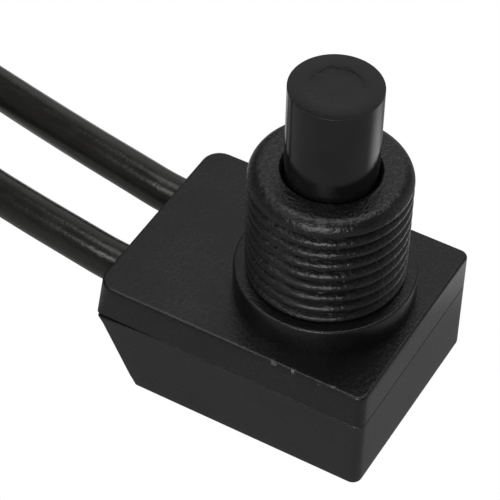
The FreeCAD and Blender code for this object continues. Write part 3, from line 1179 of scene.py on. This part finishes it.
# %% Mirrored ground
sheet_reach = 0.3
sheet_z = cad_low.z - 0.00001
mirrored_grey = 0.28
mirrored_light = 1.6
lighter_patches = [dict(x=20 * MM, y=19 * MM, radius=13 * MM, share=0.70),
                   dict(x=-26 * MM, y=17 * MM, radius=15 * MM, share=0.32)]


def reflected_ground():
    """What the dark plastic mirrors of the ground: a mid grey with two lighter, soft patches."""
    m = Finish("reflected_ground", (mirrored_grey, mirrored_grey, mirrored_grey))
    x, y, _ = m.parts(m.place())
    light = None
    for patch in lighter_patches:
        away = ((x - patch["x"]) ** 2 + (y - patch["y"]) ** 2) ** 0.5
        glow = away.above(patch["radius"], 0.3 * patch["radius"]) * patch["share"]
        light = glow if light is None else light + glow
    dull = m.value("Emission", {}, {"Color": white, "Strength": mirrored_grey})
    bright = m.value("Emission", {}, {"Color": white, "Strength": mirrored_light})
    return m.surface(m.blend(light.clamped(), dull, bright))


sheet_corners = [Vector((x, y, sheet_z)) for x, y in
                 ((-sheet_reach, -sheet_reach), (sheet_reach, -sheet_reach),
                  (sheet_reach, sheet_reach), (-sheet_reach, sheet_reach))]
card = make("reflection_card", (sheet_corners, [(0, 1, 2, 3)]))
card.data.materials.append(reflected_ground())
card.visible_camera = False
card.visible_diffuse = False
card.visible_shadow = False
card.visible_transmission = False
print("mirrored grey", mirrored_grey, "with", len(lighter_patches), "patches")

# %% [markdown]
# ## The sky
#
# A little even light fills the shadows. Beyond the floor the picture has to stay white in any view, and
# a white sky would light the switch from all sides. The larger of two numbers settles it: the world
# has strength 1 where the camera looks at it, and the weak fill light for everything else.

# %% Sky
fill_strength = 0.12
world = bpy.data.worlds.new("sky")
world.use_nodes = True
bpy.context.scene.world = world

sky = Nodes(world.node_tree)
from_camera = sky.value("LightPath", output="Is Camera Ray")
strength = from_camera.math("MAXIMUM", fill_strength)
background = sky.value("Background", {}, {"Color": white, "Strength": strength})
sky.node("OutputWorld", {}, {"Surface": background})
print("fill light", fill_strength)

# %% [markdown]
# ## Camera
#
# The camera has to see the switch exactly as the photograph does. It could be set by eye, but a few
# degrees change which side of each ridge is seen. Its bearing, height, roll and distance were
# fitted, so that the body's corners, the thread's ridges and the button fall where the photograph has
# them. From those four numbers the camera's three axes are worked out and put in a matrix.

# %% Camera
target = Vector((-2.318, -0.413, 9.0)) * MM
bearing = radians(28.843)
height = radians(45.766)
roll = radians(1.511)
distance = 150.883 * MM
back = Vector((sin(bearing) * cos(height), -cos(bearing) * cos(height), sin(height)))
right = Vector((cos(bearing), sin(bearing), 0))
up = back.cross(right)
level = right * cos(roll) + up * sin(roll)
rise = up * cos(roll) - right * sin(roll)
lens = bpy.data.cameras.new("camera")
lens.lens = 169.2
lens.sensor_width = 36
lens.clip_start = 0.01
lens.clip_end = 10
camera = bpy.data.objects.new("camera", lens)
camera_axes = Matrix((level, rise, back)).transposed().to_4x4()
camera_axes.translation = target + back * distance
camera.matrix_world = camera_axes
bpy.context.collection.objects.link(camera)
bpy.context.scene.camera = camera
print("camera", [round(v, 4) for v in camera_axes.translation])

# %% [markdown]
# ## Lamps
#
# On black plastic one sees the lamps' mirror images more than the light that they give. A photographer
# builds such a set from large soft sheets, and so does this cell: one sheet overhead for the level
# faces, a window in front for the long side and the thread, a small one at the side for the streaks on
# the leads, and two weak ones for the walls that the flat top and the end mirror.

# %% Lamps
def lamp(name, azimuth, elevation, away, wide, tall, power):
    """A flat lamp that looks at the switch from an azimuth (0 is the -Y side) and elevation."""
    a = radians(azimuth)
    e = radians(elevation)
    out = Vector((sin(a) * cos(e), -cos(a) * cos(e), sin(e)))
    data = bpy.data.lights.new(name, "AREA")
    data.shape = "RECTANGLE"
    data.size = wide
    data.size_y = tall
    data.energy = power
    light = bpy.data.objects.new(name, data)
    light.location = target + out * away
    light.rotation_mode = "QUATERNION"
    light.rotation_quaternion = out.to_track_quat("Z", "Y")
    bpy.context.collection.objects.link(light)
    return light


lamps = [
    lamp("overhead", azimuth=209, elevation=80, away=0.5, wide=0.40, tall=0.40, power=1.10),
    lamp("window", azimuth=14, elevation=23, away=0.32, wide=0.17, tall=0.15, power=0.50),
    lamp("side_window", azimuth=-46, elevation=45, away=0.32, wide=0.07, tall=0.07, power=0.07),
    lamp("back_wall", azimuth=195, elevation=26, away=0.45, wide=0.36, tall=0.36, power=0.165),
    lamp("right_wall", azimuth=127, elevation=20, away=0.45, wide=0.36, tall=0.35, power=0.12),
]
bpy.context.scene.view_settings.view_transform = "Standard"
print("lamps", [light.name for light in lamps])
